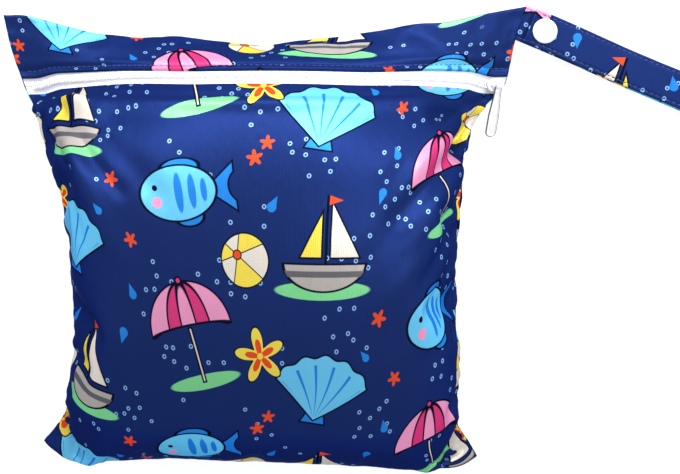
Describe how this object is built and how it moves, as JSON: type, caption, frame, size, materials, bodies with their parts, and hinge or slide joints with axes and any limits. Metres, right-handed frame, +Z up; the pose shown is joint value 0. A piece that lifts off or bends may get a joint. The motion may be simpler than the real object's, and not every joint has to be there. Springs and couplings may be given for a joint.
{
  "type": "zipped wet bag for swimwear",
  "caption": "Soft rectangular wet bag lying full on its back, with a zip across the upper front and a snap-closed strap loop at one top corner.",
  "frame": {"origin": "on the surface the bag lies on, in the flat of its back, under the middle of its belly", "axes": "+Z up through the front of the bag, +Y towards its top edge, +X towards the side with the slider and strap"},
  "size_m": [0.4322, 0.2531, 0.1111],
  "materials": {
    "printed_cloth": "shiny laminated knit, navy with a beach print",
    "zip_tape": "white woven tape",
    "zip_coil": "white nylon coil",
    "slider_enamel": "white enamel on die-cast metal",
    "snap_plastic": "white moulded resin"
  },
  "bodies": {
    "bag": {"front_panel": "printed_cloth", "top_panel": "printed_cloth", "back_panel": "printed_cloth", "zip_tape_lower": "zip_tape", "zip_tape_upper": "zip_tape", "zip_chain": "zip_coil", "zip_slider": "slider_enamel", "strap": "printed_cloth", "snap_cap": "snap_plastic", "snap_socket": "snap_plastic", "snap_under_cap": "snap_plastic"},
    "pull": {"zip_pull": "slider_enamel"}
  },
  "joints": [
    {"name": "pull_swing", "type": "hinge", "parent": "bag", "child": "pull", "pos_m": [0.12891, 0.09779, 0.01433], "axis": [-0.9573, -0.0115, 0.2889], "range_deg": [0, 180]}
  ]
}
